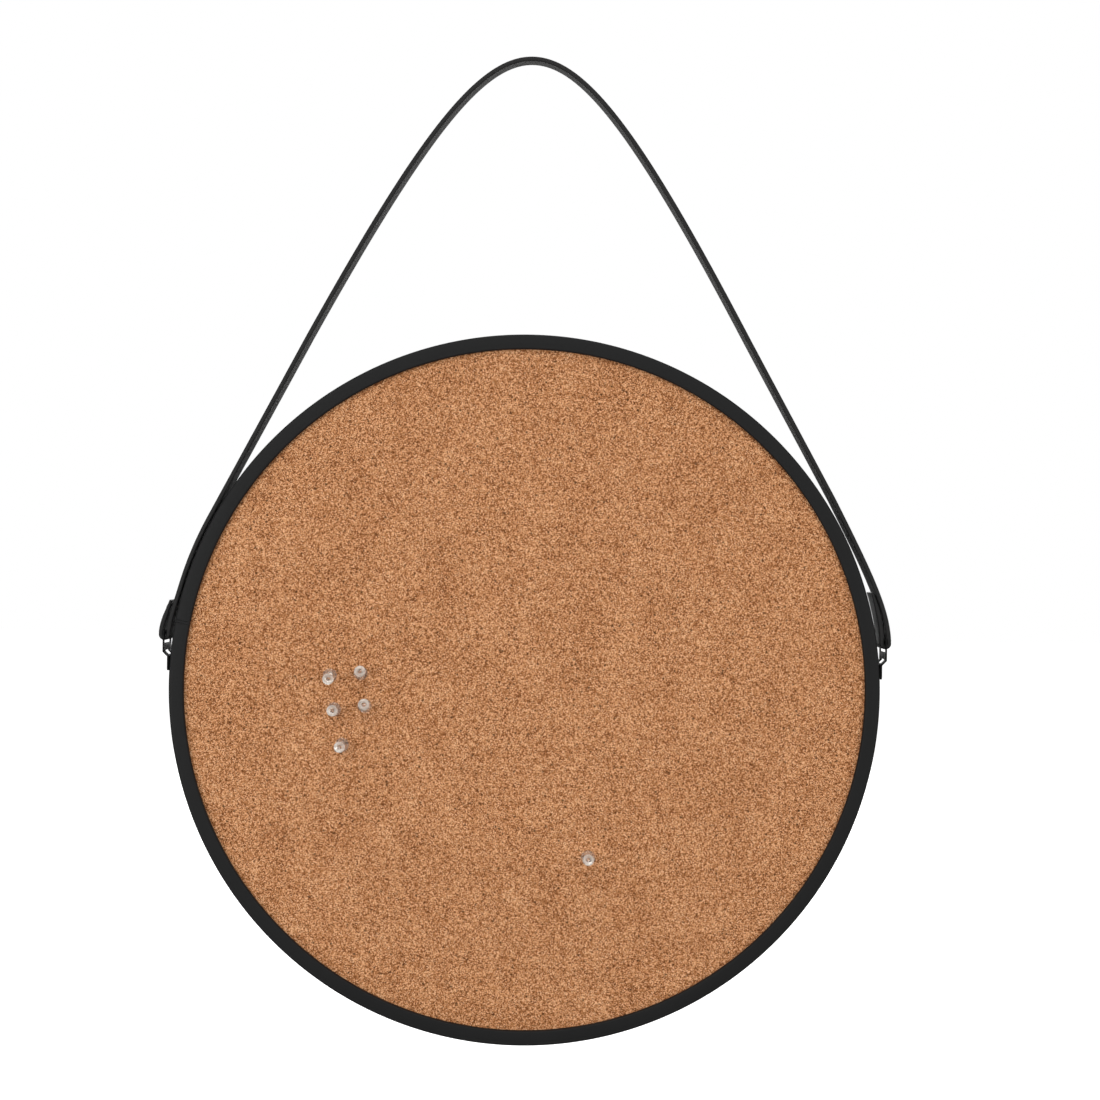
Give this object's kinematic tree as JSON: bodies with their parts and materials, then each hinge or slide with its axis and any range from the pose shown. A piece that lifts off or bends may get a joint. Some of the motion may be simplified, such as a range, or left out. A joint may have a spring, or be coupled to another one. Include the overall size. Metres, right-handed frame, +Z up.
{
  "type": "cork bulletin board",
  "caption": "Round cork notice board in a black metal ring frame, hung by a leather strap from side hanger plates, with clear push pins stuck in the cork.",
  "frame": {"origin": "the hook seat: the underside of the strap at the middle of its crown, half-way across the strap's width", "axes": "+Z up, the way the board hangs; -Y out of the cork face into the room; +Y towards the wall; +X to the right as a reader sees the board"},
  "size_m": [0.516, 0.0357, 0.698],
  "materials": {
    "black_frame": "matte",
    "black_hardware": "satin",
    "zinc_steel": "satin",
    "cork": "matte",
    "softboard": "matte",
    "hardboard": "satin",
    "leather": "satin",
    "clear_plastic": "gloss"
  },
  "bodies": {
    "strap_hanger": {"strap": "leather", "hanger_plate_left": "black_hardware", "hanger_plate_right": "black_hardware"},
    "board": {"frame_ring": "black_frame", "frame_joint_key": "black_frame", "cork_sheet": "cork", "core_board": "softboard", "back_panel": "hardboard", "retaining_tab_1": "zinc_steel", "retaining_tab_2": "zinc_steel", "retaining_tab_3": "zinc_steel", "retaining_tab_4": "zinc_steel", "retaining_tab_5": "zinc_steel", "retaining_tab_6": "zinc_steel", "tab_screw_1": "zinc_steel", "tab_screw_2": "zinc_steel", "tab_screw_3": "zinc_steel", "tab_screw_4": "zinc_steel", "tab_screw_5": "zinc_steel", "tab_screw_6": "zinc_steel", "hanger_screw_left": "black_hardware", "hanger_screw_right": "black_hardware", "hanger_nut_left": "zinc_steel", "hanger_nut_right": "zinc_steel"},
    "pin_1": {"pin_head_1": "clear_plastic", "pin_needle_1": "zinc_steel"},
    "pin_2": {"pin_head_2": "clear_plastic", "pin_needle_2": "zinc_steel"},
    "pin_3": {"pin_head_3": "clear_plastic", "pin_needle_3": "zinc_steel"},
    "pin_4": {"pin_head_4": "clear_plastic", "pin_needle_4": "zinc_steel"},
    "pin_5": {"pin_head_5": "clear_plastic", "pin_needle_5": "zinc_steel"},
    "pin_6": {"pin_head_6": "clear_plastic", "pin_needle_6": "zinc_steel"}
  },
  "joints": [
    {"name": "board_swing", "type": "hinge", "parent": "strap_hanger", "child": "board", "pos_m": [0, 0, -0.4284], "axis": [1, 0, 0], "range_deg": [-90, 90]},
    {"name": "pin_1_pull", "type": "slide", "parent": "board", "child": "pin_1", "axis": [0, -0.9863, -0.165], "range_m": [0, 0.012]},
    {"name": "pin_2_pull", "type": "slide", "parent": "board", "child": "pin_2", "axis": [0.0611, -0.9872, 0.1475], "range_m": [0, 0.012]},
    {"name": "pin_3_pull", "type": "slide", "parent": "board", "child": "pin_3", "axis": [0.0087, -1, 0], "range_m": [0, 0.012]},
    {"name": "pin_4_pull", "type": "slide", "parent": "board", "child": "pin_4", "axis": [0.0611, -0.9884, 0.1389], "range_m": [0, 0.012]},
    {"name": "pin_5_pull", "type": "slide", "parent": "board", "child": "pin_5", "axis": [-0.0349, -0.9988, -0.0349], "range_m": [0, 0.012]},
    {"name": "pin_6_pull", "type": "slide", "parent": "board", "child": "pin_6", "axis": [0, -1, 0], "range_m": [0, 0.012]}
  ]
}
